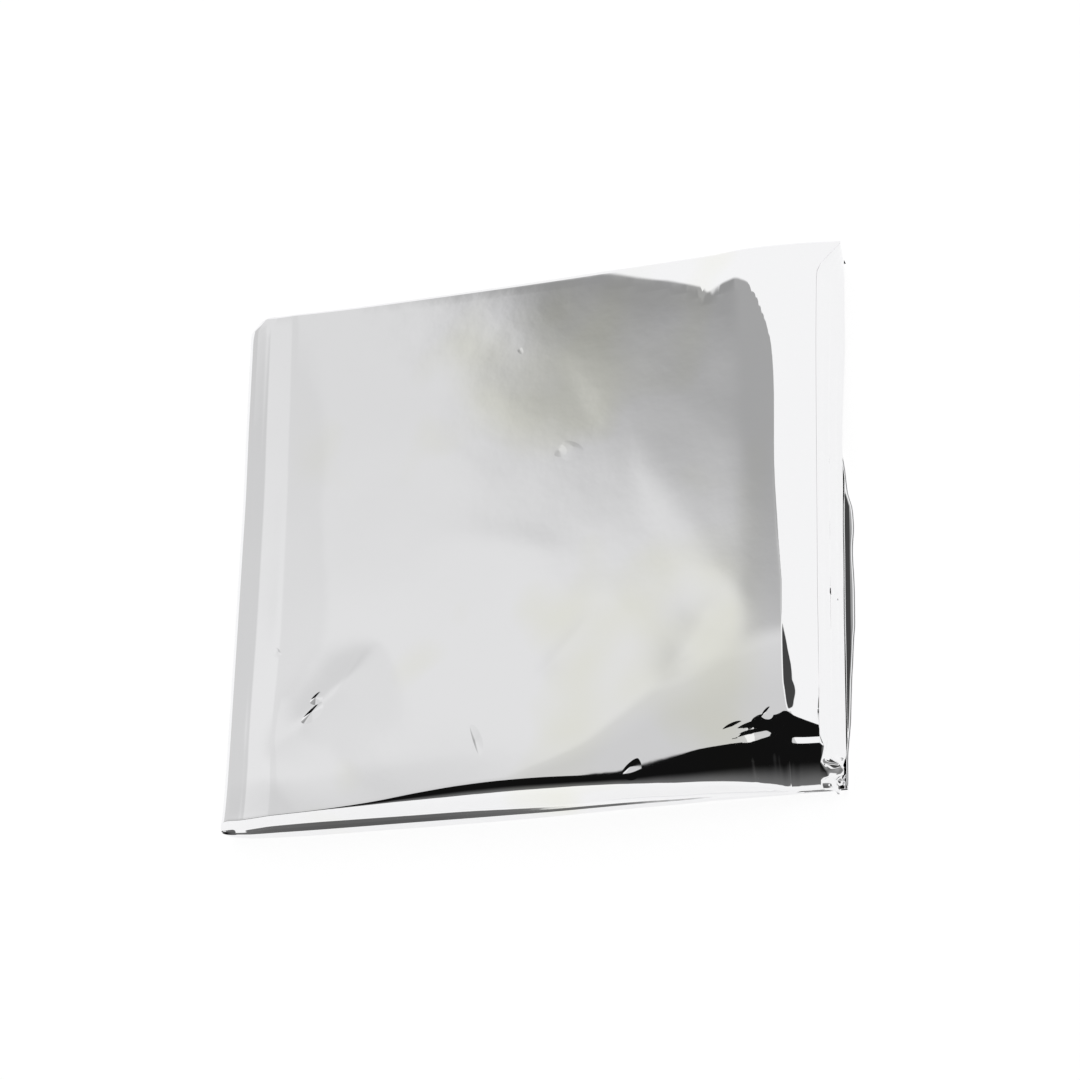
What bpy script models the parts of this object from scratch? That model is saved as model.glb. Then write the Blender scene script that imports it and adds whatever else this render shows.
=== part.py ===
"""Folded emergency foil blanket: one strip of metallised film, folded back and forth into a flat packet.

The packet lies on its back with +Z up and +X towards its thick spine. In the X-Z section the strip starts
with a short hem that is folded under the spine. It then runs along the floor, round the left edge, over the
top, down the spine, and back and forth inside. Along Y its outer panels curl inwards at the front and back.
All sizes are in metres.
"""

import math
from collections import namedtuple

import bmesh
import bpy
from mathutils import Matrix

MM = 0.001

# The packet
PACKET_LENGTH = 131 * MM  # left edge to spine: a sixteenth of a 2.1 m blanket
PACKET_DEPTH = 117 * MM  # front to back: a twelfth of its 1.4 m width
PLY = 1.0 * MM  # thickness of one modelled layer, which stands for a bundle of films
LAYERS = 8  # the bottom panel, six inner panels and the top panel, without the hem
SMALLEST_PITCH = 1.3 * MM  # from layer to layer where the packet is thin

# The level rectangle of the bottom panel that the packet rests on. Beyond it the panel rises a little.
SEAT_LEFT = 9 * MM
SEAT_RIGHT = 118 * MM
SEAT_HALF_DEPTH = 55 * MM
END_LIFT = 0.3 * MM  # at the left edge's arc and at the hem's fold
SEAT_SNAP = 0.05 * MM  # points of the underside that are lower than this lie in the rectangle

# The left edge and the top panel's height along X
EDGE_RADIUS = 2.75 * MM
LEFT_RISE = 1.0 * MM  # the soft step up to the crease that follows the left edge
LEFT_RISE_RUN = 9 * MM
LONG_RISE = 9.2 * MM  # from the left edge to the spine
SHOULDER_RUN = 10 * MM  # where the panel bends down towards the spine
SHOULDER_ANGLE = math.radians(11)
CROWN = 0.8 * MM  # air under the middle of the panel

# The spine, with its two long soft pleats
RIDGE_RADIUS = 2.0 * MM
RIDGE_INSET = 1.3 * MM
SPINE_LEAN = 2.4 * MM  # how much further out its foot is than its ridge
SPINE_PLEAT = 0.5 * MM
SPINE_FOOT_RADIUS = 1.0 * MM
SPINE_STEPS = 8

# The spine's ends. At the front its ridge is pressed down with the roll of the top panel, and at the back
# it flares out. Each fades to nothing at the spine's foot.
FRONT_PRESS_DOWN = 10.5 * MM
FRONT_PRESS_IN = 2.8 * MM
FRONT_PRESS_RUN = 9.0 * MM
BACK_PRESS_DOWN = 2.0 * MM
BACK_FLARE_OUT = 3.0 * MM
BACK_FLARE_RUN = 7.0 * MM
FOOT_RUN = 2.2 * MM

# The hem under the spine. Its fold shows past the spine's foot along the front part of the packet.
HEM_START = 108 * MM
HEM_EASE = 26 * MM  # over which the layers above make room for it
HEM_INSET = 0.6 * MM
HEM_OVERHANG = 4.0 * MM
HEM_SHOWS_TO = 0.67  # share of the depth, from the front
HEM_WAVE = 0.25

# The rounded corner where the left edge meets the back
CORNER_RADIUS = 3.0 * MM

# Rows of points across the strip
CURL_ROWS = 5
FLAT_ROWS = 11

# How the outer panels curl at the front and the back, along the packet from its left edge to its spine
Curl = namedtuple("Curl", "along front_run front_drop back_run back_drop")
TOP_CURLS = (
    Curl(0.02, 1.6 * MM, 1.6 * MM, 1.6 * MM, 1.6 * MM),
    Curl(0.10, 3.2 * MM, 2.5 * MM, 2.2 * MM, 2.5 * MM),
    Curl(0.25, 4.0 * MM, 3.2 * MM, 2.6 * MM, 3.2 * MM),
    Curl(0.40, 5.2 * MM, 4.9 * MM, 2.8 * MM, 4.9 * MM),
    Curl(0.53, 5.9 * MM, 7.4 * MM, 3.6 * MM, 7.3 * MM),
    Curl(0.65, 7.0 * MM, 9.8 * MM, 4.8 * MM, 9.6 * MM),
    Curl(0.77, 8.8 * MM, 11.9 * MM, 6.2 * MM, 11.2 * MM),
    Curl(0.90, 10.4 * MM, 12.0 * MM, 6.8 * MM, 9.0 * MM),
    Curl(1.00, FRONT_PRESS_RUN, FRONT_PRESS_DOWN, BACK_FLARE_RUN, BACK_PRESS_DOWN),
)
SEAT_CURL_RUN = PACKET_DEPTH / 2 - SEAT_HALF_DEPTH
BOTTOM_CURLS = (
    Curl(0.02, SEAT_CURL_RUN, 1.6 * MM, SEAT_CURL_RUN, 1.6 * MM),
    Curl(0.10, SEAT_CURL_RUN, 3.5 * MM, SEAT_CURL_RUN, 3.5 * MM),
    Curl(0.25, SEAT_CURL_RUN, 4.1 * MM, SEAT_CURL_RUN, 4.1 * MM),
    Curl(0.40, SEAT_CURL_RUN, 3.5 * MM, SEAT_CURL_RUN, 3.5 * MM),
    Curl(0.53, SEAT_CURL_RUN, 2.3 * MM, SEAT_CURL_RUN, 2.3 * MM),
    Curl(0.65, SEAT_CURL_RUN, 1.2 * MM, SEAT_CURL_RUN, 1.2 * MM),
    Curl(0.77, SEAT_CURL_RUN, 0.8 * MM, SEAT_CURL_RUN, 0.8 * MM),
)
INNER_CURL = Curl(0, FOOT_RUN, 0, FOOT_RUN, 0)

# The inner panels, from the lowest up. left and right are measured from the packet's two ends to the
# centre of the fold there, and the insets from its front and back.
Panel = namedtuple("Panel", "level left right front_inset back_inset steps")
INNER_PANELS = (
    Panel(1, 3.6 * MM, 1.7 * MM, 4.6 * MM, 4.2 * MM, 10),
    Panel(2, 3.6 * MM, 4.0 * MM, 4.2 * MM, 4.5 * MM, 10),
    Panel(3, 8.0 * MM, 4.0 * MM, 4.5 * MM, 4.3 * MM, 10),
    Panel(4, 8.0 * MM, 5.0 * MM, 5.4 * MM, 4.8 * MM, 10),
    Panel(5, 42.0 * MM, 5.0 * MM, 7.6 * MM, 6.2 * MM, 7),
    Panel(6, 42.0 * MM, 7.0 * MM, 11.0 * MM, 7.4 * MM, 7),
)

# Soft troughs and swells of the top panel: centre, radii and height
Swell = namedtuple("Swell", "along across length width height")
TOP_SWELLS = (
    Swell(0.30, 0.70, 24 * MM, 20 * MM, 0.35 * MM),
    Swell(0.57, 0.60, 14 * MM, 10 * MM, -0.45 * MM),
    Swell(0.16, 0.31, 13 * MM, 8 * MM, -0.50 * MM),
    Swell(0.70, 0.35, 22 * MM, 16 * MM, 0.35 * MM),
    Swell(0.86, 0.16, 9 * MM, 6 * MM, -0.60 * MM),
    Swell(0.84, 0.90, 8 * MM, 6 * MM, -0.40 * MM),
)

# One line of the strip along Y. out_x and out_z point away from the packet, front and back are the
# distances from the middle to the line's ends, and pressed is 1 on the ridge and 0 away from the spine.
Station = namedtuple("Station", "x z out_x out_z front back curl panel along pressed")


def ease(t):
    """0 to 1 with level ends, for t from 0 to 1."""
    t = min(max(t, 0.0), 1.0)
    return t * t * (3 - 2 * t)


def between(rows, along):
    """The row of a table of Curls at this share of the packet's length."""
    if along <= rows[0].along:
        return rows[0]
    for low, high in zip(rows, rows[1:]):
        if along <= high.along:
            share = (along - low.along) / (high.along - low.along)
            return Curl(*(a + (b - a) * share for a, b in zip(low, high)))
    return rows[-1]


# The left edge is an arc that leads from the bottom panel into the top panel without a corner.
HALF_DEPTH = PACKET_DEPTH / 2
LONG_RUN = PACKET_LENGTH - EDGE_RADIUS
LIFT_ANGLE = math.atan(2 * LEFT_RISE / LEFT_RISE_RUN + LONG_RISE / LONG_RUN)
EDGE_CENTRE_X = EDGE_RADIUS + PLY / 2
EDGE_CENTRE_Z = EDGE_RADIUS + PLY / 2 + END_LIFT
TOP_START_X = EDGE_CENTRE_X - EDGE_RADIUS * math.sin(LIFT_ANGLE)
TOP_START_Z = EDGE_CENTRE_Z + EDGE_RADIUS * math.cos(LIFT_ANGLE)
SPINE_TOP_X = PACKET_LENGTH - PLY / 2 - RIDGE_INSET
SPINE_FOOT_X = SPINE_TOP_X + SPINE_LEAN
RIDGE_START_X = SPINE_TOP_X - RIDGE_RADIUS * (1 - math.sin(SHOULDER_ANGLE))
SHOULDER_START_X = RIDGE_START_X - SHOULDER_RUN
SHOULDER_RADIUS = SHOULDER_RUN / math.sin(SHOULDER_ANGLE)
HEM_FOLD_X = PACKET_LENGTH - HEM_INSET - PLY / 2  # the outermost line of the hem's fold


def top_height(x):
    """The centre of the top panel along the middle of the packet."""
    run = max(x - TOP_START_X, 0)
    step = 1 - (1 - min(run / LEFT_RISE_RUN, 1)) ** 2
    past = min(max(x - SHOULDER_START_X, 0), SHOULDER_RUN)
    shoulder = SHOULDER_RADIUS - math.sqrt(SHOULDER_RADIUS**2 - past**2)
    return TOP_START_Z + LEFT_RISE * step + LONG_RISE * run / LONG_RUN - shoulder


def bottom_height(x):
    """The centre of the bottom panel: level over the seat, and a little raised towards both ends."""
    left = (SEAT_LEFT - x) / (SEAT_LEFT - EDGE_CENTRE_X)
    right = (x - SEAT_RIGHT) / (HEM_FOLD_X - SEAT_RIGHT)
    return PLY / 2 + END_LIFT * min(max(left, right, 0), 1)


def level_height(level, x):
    """The centre of an inner layer: the layers, and the hem next to the spine, share out the height."""
    hem = ease((x - HEM_START + HEM_EASE) / HEM_EASE)
    pitch = max(SMALLEST_PITCH, (top_height(x) - bottom_height(x)) / (LAYERS - 1 + hem))
    return bottom_height(x) + (level + hem) * pitch


def arc(centre_x, centre_z, radius, start, end, steps):
    """Points of an arc, and the direction from its centre to each. Angles in degrees."""
    for angle in steps_between(math.radians(start), math.radians(end), steps):
        away_x, away_z = math.cos(angle), math.sin(angle)
        yield centre_x + radius * away_x, centre_z + radius * away_z, away_x, away_z


def steps_between(start, end, steps):
    return [start + (end - start) * i / steps for i in range(steps + 1)]


def outer_station(x, z, out_x, out_z, curl, panel, along, pressed=0.0):
    return Station(x, z, out_x, out_z, HALF_DEPTH, HALF_DEPTH, curl, panel, along, pressed)


def bottom_stations():
    """The hem, its fold, and the bottom panel from there to the left edge."""
    hem_height, fold_foot = level_height(0, PACKET_LENGTH), bottom_height(PACKET_LENGTH)
    fold_radius = (hem_height - fold_foot) / 2
    fold_x = HEM_FOLD_X - fold_radius
    for x in steps_between(HEM_START, fold_x, 6)[:-1]:
        yield outer_station(x, hem_height, 0, -1, BOTTOM_CURLS[-1], "bottom", x / PACKET_LENGTH)
    for x, z, _, _ in arc(fold_x, fold_foot + fold_radius, fold_radius, 90, -90, 6):
        yield outer_station(x, z, 0, -1, BOTTOM_CURLS[-1], "bottom", 1)
    xs = steps_between(fold_x, SEAT_RIGHT, 2)[1:]
    xs += steps_between(SEAT_RIGHT, SEAT_LEFT, 15)[1:]
    xs += steps_between(SEAT_LEFT, EDGE_CENTRE_X, 2)[1:-1]
    for x in xs:
        along = x / PACKET_LENGTH
        yield outer_station(x, bottom_height(x), 0, -1, between(BOTTOM_CURLS, along), "bottom", along)


def edge_stations():
    """Round the left edge, up to the top panel."""
    edge_end = 90 + math.degrees(LIFT_ANGLE)
    for x, z, out_x, out_z in arc(EDGE_CENTRE_X, EDGE_CENTRE_Z, EDGE_RADIUS, 270, edge_end, 8):
        yield outer_station(x, z, out_x, out_z, TOP_CURLS[0], "edge", 0)


def top_stations():
    """Over the top: the soft step, the long flat and the shoulder."""
    step_end = TOP_START_X + LEFT_RISE_RUN
    xs = steps_between(TOP_START_X, step_end, 5)[1:]
    xs += steps_between(step_end, SHOULDER_START_X, 18)[1:]
    xs += steps_between(SHOULDER_START_X, RIDGE_START_X, 5)[1:]
    for x in xs:
        along = x / PACKET_LENGTH
        yield outer_station(x, top_height(x), 0, 1, between(TOP_CURLS, along), "top", along)


def spine_stations():
    """Round the ridge and down the pleated spine to its foot."""
    ridge_z = top_height(RIDGE_START_X) - RIDGE_RADIUS * math.cos(SHOULDER_ANGLE)
    ridge_start = 90 - math.degrees(SHOULDER_ANGLE)
    ridge_centre_x = SPINE_TOP_X - RIDGE_RADIUS
    for x, z, out_x, out_z in list(arc(ridge_centre_x, ridge_z, RIDGE_RADIUS, ridge_start, 0, 4))[1:]:
        yield outer_station(x, z, out_x, out_z, TOP_CURLS[-1], "spine", 1, 1.0)
    foot_z = level_height(1, PACKET_LENGTH) + SPINE_FOOT_RADIUS
    for share in steps_between(0, 1, SPINE_STEPS)[1:]:
        z = ridge_z + (foot_z - ridge_z) * share
        x = SPINE_TOP_X + SPINE_LEAN * share + SPINE_PLEAT * math.sin(2 * math.pi * share) ** 2
        run = TOP_CURLS[-1].front_run + (FOOT_RUN - TOP_CURLS[-1].front_run) * share
        curl = Curl(1, run, FRONT_PRESS_DOWN, run, BACK_PRESS_DOWN)
        yield outer_station(x, z, 1, 0, curl, "spine", 1, 1 - share)


def inner_station(panel, x, z):
    front, back = HALF_DEPTH - panel.front_inset, HALF_DEPTH - panel.back_inset
    return Station(x, z, 0, -1, front, back, INNER_CURL, "inner", x / PACKET_LENGTH, 0.0)


def inner_stations():
    """From the spine's foot, back and forth between the bottom panel and the top panel."""
    first = INNER_PANELS[0]
    foot_x = SPINE_FOOT_X - SPINE_FOOT_RADIUS
    foot_z = level_height(first.level, PACKET_LENGTH) + SPINE_FOOT_RADIUS
    for x, z, _, _ in list(arc(foot_x, foot_z, SPINE_FOOT_RADIUS, 0, -90, 3))[1:]:
        yield inner_station(first, x, z)
    for index, panel in enumerate(INNER_PANELS):
        leftwards = index % 2 == 0
        right_x = PACKET_LENGTH - panel.right
        start_x, end_x = (right_x, panel.left) if leftwards else (panel.left, right_x)
        xs = steps_between(start_x, end_x, panel.steps)[1:]
        is_last = index == len(INNER_PANELS) - 1
        for x in xs if is_last else xs[:-1]:
            yield inner_station(panel, x, level_height(panel.level, x))
        if is_last:
            return
        # The fold's arc holds the ends of both panels that it joins.
        above = INNER_PANELS[index + 1]
        low_z, high_z = level_height(panel.level, end_x), level_height(above.level, end_x)
        turn = (270, 90) if leftwards else (-90, 90)
        for x, z, _, _ in arc(end_x, (low_z + high_z) / 2, (high_z - low_z) / 2, *turn, 5):
            yield inner_station(above, x, z)


def rows_across():
    """For each row of points across the strip: its part (-1 front curl, 0 flat, 1 back curl) and place."""
    quarter = math.pi / 2
    front = [(-1, quarter * (1 - i / CURL_ROWS)) for i in range(CURL_ROWS)]
    flat = [(0, i / (FLAT_ROWS - 1)) for i in range(FLAT_ROWS)]
    back = [(1, quarter * (i + 1) / CURL_ROWS) for i in range(CURL_ROWS)]
    return front + flat + back


def swell_height(x, y):
    """The crown of the top panel with its soft troughs and swells."""
    along, across = x / PACKET_LENGTH, y / PACKET_DEPTH + 0.5
    height = CROWN * (1 - (2 * across - 1) ** 2) * ease(along * 5) * ease((1 - along) * 7)
    for s in TOP_SWELLS:
        far_x = (along - s.along) * PACKET_LENGTH / s.length
        far_y = (across - s.across) * PACKET_DEPTH / s.width
        height += s.height * math.exp(-far_x * far_x - far_y * far_y)
    return height


def hem_reach(y):
    """How far the hem's fold shows past the spine: a wavy tongue that dies away to the back."""
    across = y / PACKET_DEPTH + 0.5
    swell = ease((HEM_SHOWS_TO - across) / 0.30) * ease((across + 0.10) / 0.30)
    wave = 1 - HEM_WAVE * math.sin(2 * math.pi * across / 0.24) ** 2
    return HEM_OVERHANG * swell * wave


def corner_inset(y):
    """How far the rounded back corner draws the left edge in."""
    past = max(y - (HALF_DEPTH - CORNER_RADIUS), 0)
    return CORNER_RADIUS - math.sqrt(max(CORNER_RADIUS**2 - past**2, 0))


def place(station, row):
    """Where one point of the strip lies, with X from the left edge and Y from the middle."""
    part, at = row
    curl, bend = station.curl, 1 - math.cos(at)
    if station.panel == "bottom":
        bend = at / (math.pi / 2)  # lifts off the floor at once
    front_flat = -(station.front - curl.front_run)
    back_flat = station.back - curl.back_run
    x, z = station.x, station.z
    if part < 0:
        y, drop = front_flat - curl.front_run * math.sin(at), curl.front_drop * bend
    elif part > 0:
        y, drop = back_flat + curl.back_run * math.sin(at), curl.back_drop * bend
    else:
        y, drop = front_flat + (back_flat - front_flat) * at, 0
    if station.panel == "spine":
        z -= drop * station.pressed
        if part < 0:
            x -= FRONT_PRESS_IN * station.pressed * bend
        elif part > 0:
            x += BACK_FLARE_OUT * station.pressed * bend
    else:
        x, z = x - drop * station.out_x, z - drop * station.out_z
    if station.panel == "top":
        z += swell_height(x, max(front_flat, min(back_flat, y)))
        near_ridge = ease((x - SHOULDER_START_X) / (RIDGE_START_X - SHOULDER_START_X))
        if part < 0:
            x -= FRONT_PRESS_IN * near_ridge * bend
        elif part > 0:
            x += BACK_FLARE_OUT * near_ridge * bend
    if station.panel == "bottom":
        x += hem_reach(y) * ease((station.along * PACKET_LENGTH - SEAT_RIGHT) / (PACKET_LENGTH - SEAT_RIGHT))
    if station.panel in ("bottom", "edge", "top"):
        x += corner_inset(y) * ease(1 - station.along / 0.18)
    return x, y, z


def make_strip(name):
    """A flat grid, bent station by station into the folded strip."""
    stations = [
        *bottom_stations(), *edge_stations(), *top_stations(), *spine_stations(), *inner_stations(),
    ]
    across = rows_across()
    mesh = bpy.data.meshes.new(name)
    bm = bmesh.new()
    columns, lines = len(stations) - 1, len(across) - 1
    bmesh.ops.create_grid(bm, x_segments=columns, y_segments=lines, size=1)
    for vert in bm.verts:
        i = round((vert.co.x + 1) / 2 * columns)
        j = round((vert.co.y + 1) / 2 * lines)
        vert.co = place(stations[i], across[j])
    for face in bm.faces:
        face.smooth = True
    bm.to_mesh(mesh)
    bm.free()
    return bpy.data.objects.new(name, mesh)


def thicken(strip):
    """Gives the strip its thickness and keeps the result as the object's own mesh."""
    solidify = strip.modifiers.new("ply", "SOLIDIFY")
    solidify.thickness = PLY
    solidify.offset = 0
    solidify.use_even_offset = False
    bpy.context.view_layer.update()
    graph = bpy.context.evaluated_depsgraph_get()
    solid = bpy.data.meshes.new_from_object(strip.evaluated_get(graph))
    strip.modifiers.clear()
    strip.data = solid


def press_seat(mesh):
    """Presses the lowest points of the underside into one level rectangle."""
    for vert in mesh.vertices:
        x, y, z = vert.co
        if z < SEAT_SNAP:
            vert.co.x = min(max(x, SEAT_LEFT), SEAT_RIGHT)
            vert.co.y = min(max(y, -SEAT_HALF_DEPTH), SEAT_HALF_DEPTH)
            vert.co.z = 0


def stand_on_origin(mesh):
    """Moves the mesh so that the middle of its underside is the origin."""
    low = [min(v.co[k] for v in mesh.vertices) for k in range(3)]
    high = [max(v.co[k] for v in mesh.vertices) for k in range(3)]
    mesh.transform(Matrix.Translation((-(low[0] + high[0]) / 2, -(low[1] + high[1]) / 2, -low[2])))


def metallised_film():
    material = bpy.data.materials.new("metallised_film")
    material.use_nodes = True
    shader = material.node_tree.nodes["Principled BSDF"]
    shader.inputs["Base Color"].default_value = (0.83, 0.83, 0.84, 1)
    shader.inputs["Metallic"].default_value = 1.0
    shader.inputs["Roughness"].default_value = 0.08
    return material


def main():
    for obj in list(bpy.data.objects):
        bpy.data.objects.remove(obj)
    collection = bpy.data.collections.new("foil_blanket_packet")
    bpy.context.scene.collection.children.link(collection)
    strip = make_strip("foil_strip")
    collection.objects.link(strip)
    strip.data.materials.append(metallised_film())
    thicken(strip)
    press_seat(strip.data)
    stand_on_origin(strip.data)


main()
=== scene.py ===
"""The looks of a folded emergency foil blanket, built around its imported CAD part. All in metres, +Z up."""

import math
from collections import namedtuple

import bmesh
import bpy
import numpy as np
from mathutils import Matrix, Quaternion, Vector


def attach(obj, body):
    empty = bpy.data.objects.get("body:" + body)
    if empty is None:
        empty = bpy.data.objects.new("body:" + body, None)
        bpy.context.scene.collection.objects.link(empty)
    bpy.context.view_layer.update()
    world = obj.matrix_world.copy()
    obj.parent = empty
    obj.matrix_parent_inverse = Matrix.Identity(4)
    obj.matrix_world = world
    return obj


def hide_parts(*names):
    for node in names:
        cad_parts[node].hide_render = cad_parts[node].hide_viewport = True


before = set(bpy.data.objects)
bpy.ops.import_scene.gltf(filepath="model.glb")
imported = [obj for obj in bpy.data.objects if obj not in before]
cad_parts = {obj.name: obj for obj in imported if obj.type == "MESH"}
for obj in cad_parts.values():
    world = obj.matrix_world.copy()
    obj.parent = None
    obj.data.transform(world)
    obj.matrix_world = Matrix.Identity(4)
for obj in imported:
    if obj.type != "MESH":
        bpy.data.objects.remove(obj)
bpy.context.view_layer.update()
scene = bpy.context.scene

# ---------------------------------------------------------------------------------------------------
# The foil sheet
# The real piece is a 1.4 x 2.1 m rescue blanket of 12 micron polyester film, vapour coated with
# aluminium. It is folded back and forth and pressed into a flat packet, so what shows is one bright
# skin: a hem under the spine, the bottom, the rounded left edge, the top, and the tall pleated spine.

MM = 0.001
# Sizes of the sheet are in millimetres, with x from the packet's left edge and y from its front.
PACKET_DEPTH = 117.0
ORIGIN_X, ORIGIN_Y = 67.03, 58.5  # the part's origin in those sizes
FLOOR_GAP = 0.06
EDGE_RADIUS = 3.25  # the rounded left edge
EDGE_CENTRE_Z = 3.55
BAND_SLOPE = 0.25  # the narrow band beside the left edge
BAND_END = 6.2
FACET_SLOPE = 0.17  # the facet beside it, up to the crease that runs along the left edge
FACET_END = 12.3
LONG_SLOPE = 0.072  # from that crease up to the shoulder beside the spine
SHOULDER_START = 114.5
RIDGE_X = 129.45
FOOT_X = 132.2

# The front roll of the top panel, along the packet. Near the spine it first bends down over the length
# "upper" to a narrow ledge. Then it bends down over "steep" and "steeper", drops upright, and flares out
# at its low edge, "lip" above the floor. The strip below it stands at "face", and "dip" is the tilt of the
# film in the soft valley between the two, "lip_run" wide.
Roll = namedtuple("Roll", "x upper ledge steep steeper lip lip_run face dip")
ROLLS = (
    Roll(2, 0.0, 0.0, 0.02, 0.02, 2.0, 0.8, 0.0, 54),
    Roll(6, 0.0, 0.0, 0.02, 0.02, 3.0, 1.2, -0.6, 52),
    Roll(12, 0.0, 0.0, 0.02, 0.02, 3.8, 1.6, -0.8, 52),
    Roll(22, 0.0, 0.0, 0.03, 0.04, 4.1, 1.8, -0.95, 52),
    Roll(28, 0.0, 0.0, 0.10, 0.15, 4.1, 1.75, -0.95, 52),
    Roll(37, 0.0, 0.0, 0.30, 0.40, 4.1, 1.7, -0.95, 52),
    Roll(45, 0.0, 0.0, 0.70, 0.80, 4.1, 1.65, -0.95, 52),
    Roll(54, 0.0, 0.0, 1.00, 1.20, 4.0, 1.7, -0.95, 53),
    Roll(63, 0.0, 0.0, 1.20, 1.30, 3.8, 1.5, -0.90, 54),
    Roll(71, 0.0, 0.0, 1.10, 1.30, 3.4, 1.4, -0.80, 54.8),
    Roll(80, 0.0, 0.0, 0.80, 1.20, 3.2, 1.3, -0.60, 55.3),
    Roll(88, 0.0, 0.0, 0.60, 1.40, 2.9, 1.2, -0.40, 55.8),
    Roll(92, 0.0, 0.0, 0.95, 1.90, 2.8, 1.1, -0.35, 56.0),
    Roll(97, 0.0, 0.0, 2.00, 2.50, 2.6, 0.9, -0.30, 56.2),
    Roll(105, 0.0, 0.0, 3.70, 3.10, 2.2, 0.7, -0.10, 57.0),
    Roll(112, 0.0, 0.8, 4.20, 4.00, 1.8, 0.5, -0.10, 60),
    Roll(114.4, 0.6, 1.0, 4.30, 4.60, 1.7, 0.4, -0.10, 61),
    Roll(116, 2.8, 1.0, 4.40, 5.00, 1.6, 0.4, -0.10, 61),
    Roll(117.5, 3.2, 1.0, 4.60, 5.30, 1.5, 0.3, -0.10, 62),
    Roll(119, 2.4, 1.2, 4.90, 5.40, 1.4, 0.3, -0.10, 62),
    Roll(120.5, 2.0, 1.4, 5.30, 5.60, 1.3, 0.3, -0.10, 62),
    Roll(121.5, 2.4, 1.2, 5.40, 5.80, 1.2, 0.3, -0.10, 62),
    Roll(122.4, 3.85, 1.0, 4.60, 5.90, 1.1, 0.3, -0.10, 62),
    Roll(123.2, 4.5, 1.0, 3.70, 6.00, 1.0, 0.3, -0.10, 62),
    Roll(124.5, 3.8, 1.0, 3.20, 6.20, 0.9, 0.3, 0.0, 62),
    Roll(126, 3.2, 1.0, 3.10, 6.20, 0.8, 0.3, 0.0, 62),
    Roll(130, 1.5, 1.0, 3.00, 6.20, 0.5, 0.3, 0.1, 62),
)
# Where the panel starts to sag towards that roll, and how fast it bends: x, y, bend
SAG = (
    (0, 3.0, 0.0), (60, 4.0, 0.0), (71, 6.5, 0.030), (80, 10.0, 0.0185), (88, 15.5, 0.0105),
    (97, 22.0, 0.0076), (105, 26.0, 0.0065), (112, 29.0, 0.0056), (120, 31.0, 0.0053), (131, 32.0, 0.0052),
)
# The tilts of the roll's bends, in degrees: "upper" as x, from and to, and the ledge and the front as x, tilt
UPPER_TILT = ((0, 16, 18), (116, 16, 18), (119, 17, 21), (122, 18, 28), (125, 20, 36), (131, 20, 47))
LEDGE_TILT = ((0, 8), (117, 8), (121.8, 23), (122.8, 22), (125.2, 8), (131, 8))
STEEP_FROM, STEEP_TO, STEEPER_TO, UPRIGHT_FROM = 18.0, 45.0, 54.0, 58.0
UPRIGHT = ((0, 78), (40, 78), (90, 88), (105, 90), (118, 98), (124, 112), (131, 112))
FACE_TILT = 88.0  # how the strip's face stands
# The lengths of the turns between those bends
LEDGE_TURN = 0.3
UPPER_FULL = 0.8  # an upper bend shorter than this turns less
STEEPER_TURN, UPRIGHT_TURN = 0.4, 1.6  # at most
LIP_TURN = 0.45
SHARP_UNTIL, SOFT_FROM = 24.0, 44.0  # the roll's edge is sharp at the left and softer from here on: x
LIP_SETBACK = 0.3  # how far the panel's low edge lies behind the strip, and more by this share of lip_run
STRIP_CURL = 0.5  # the strip's turn on the floor
STRIP_GAP = 0.1  # how far the strip stays below the panel's low edge
TUCKED = 0.9  # how far the strip reaches in behind the panel's low edge
BACK_RADIUS_LEFT, BACK_RADIUS_RIGHT = 0.6, 1.8
BACK_LOW_LEFT, BACK_LOW_RIGHT = 4.6, 1.0  # how high the top panel's back edge ends
BACK_LOW_FROM, BACK_LOW_RUN = 30.0, 70.0  # where that changes along the packet
UNDER_RADIUS = 0.6  # the bottom panel's turn at the back
BACK_TURN_SHARE, UNDER_TURN_SHARE = 0.6, 0.4  # of the back rows, for the top panel's turn and the bottom's
CORNER_RADIUS, CORNER_START = 3.0, 3.4  # the left back corner, and how far in front of the back it starts
LEFT_REACH = 23.0  # how far in from the left edge its outline's shape fades

# The crease where the panel breaks and falls to the spine and to the back: x, y
BREAK_LINE = (
    (124.0, -6), (124.0, 12), (123.4, 14.5), (122.9, 18.7), (122.9, 27.2), (123.0, 39.7), (122.3, 50.2),
    (121.7, 60.8), (121.5, 66.2), (121.5, 82.4), (121.3, 87.9), (120.9, 93.5), (119.6, 99.2), (117.5, 105.3),
    (115.6, 108.2), (112.6, 109.9), (110.4, 109.1), (107.5, 107.2), (105.6, 107.0), (104.5, 109.0),
    (98.5, 111.2), (91.6, 113.0), (82.7, 115.4), (76.0, 116.3), (66.0, 117.6), (50.0, 121.0),
)
BREAK_SLOPE = 0.20
BREAK_SOFTNESS = 0.35
# Near the front the break has a narrow steep step, which tapers away at both ends: y, width
BREAK_STEP = (
    (0, 0.0), (13.08, 0.0), (13.2, 0.7), (13.8, 1.1), (15.4, 1.6), (17.3, 2.1), (20.0, 1.75), (22.7, 1.45),
    (25.4, 1.05), (28.1, 0.7), (30.8, 0.3), (33, 0.0), (118, 0.0),
)
STEP_SLOPE, STEP_SHIFT = 0.55, 0.6
STEP_TOP_SOFTNESS, STEP_FOOT_SOFTNESS = 0.05, 0.15
STEP_FROM_X = 110.0

# Long soft waves of the film: place, lengths over two pi, and height
WAVES = (
    (12, 30, 11.0, 15.0, 0.035),
    (40, 8, 7.0, 9.0, 0.018),
    (75, 60, 17.0, 6.0, 0.020),
    (30, 90, 3.1, 4.3, 0.006),
    (90, 25, 4.7, 2.9, 0.006),
)
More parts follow.
